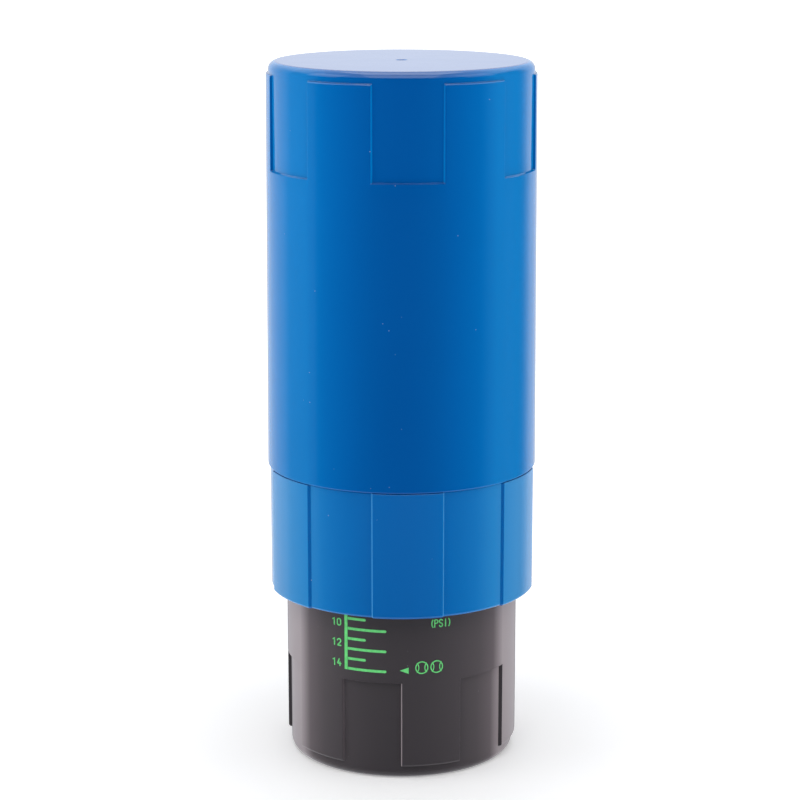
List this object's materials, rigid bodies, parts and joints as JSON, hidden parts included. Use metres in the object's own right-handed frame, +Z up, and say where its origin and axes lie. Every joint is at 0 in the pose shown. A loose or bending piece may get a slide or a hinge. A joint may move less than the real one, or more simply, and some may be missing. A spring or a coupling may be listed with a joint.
{
  "type": "ball inflation pump",
  "caption": "Screw-down ball pressuriser: a blue cup with flush grip pads turns down over a black tube that stands on a ribbed foot and carries a pressure scale.",
  "frame": {"origin": "centre of the foot ring, on the floor", "axes": "+Z up along the tube axis, -Y towards the side that carries the printed scale"},
  "size_m": [0.088, 0.088, 0.2284],
  "materials": {
    "black_plastic": "satin, moulded",
    "seal_rubber": "smooth, greased",
    "green_ink": "printed ink",
    "bumper_rubber": "matt",
    "blue_gloss": "polished, moulded",
    "blue_satin": "semi-gloss, moulded"
  },
  "bodies": {
    "base": {"inner_tube": "black_plastic", "o_ring_lower": "seal_rubber", "o_ring_upper": "seal_rubber", "pressure_scale": "green_ink"},
    "carrier": {"bumper_ring": "bumper_rubber"},
    "outer": {"outer_tube": "blue_gloss", "grip_collar": "blue_satin"}
  },
  "joints": [
    {"name": "travel", "type": "slide", "parent": "base", "child": "carrier", "axis": [0, 0, 1], "range_m": [-0.0198, 0.15]},
    {"name": "twist", "type": "hinge", "parent": "carrier", "child": "outer", "pos_m": [0, 0, 0.1], "axis": [0, 0, 1], "range_deg": [-237.6, 1800]}
  ],
  "couplings": [
    {"joint": "travel", "follows": "twist", "m_per_rad": 0.0047746}
  ]
}
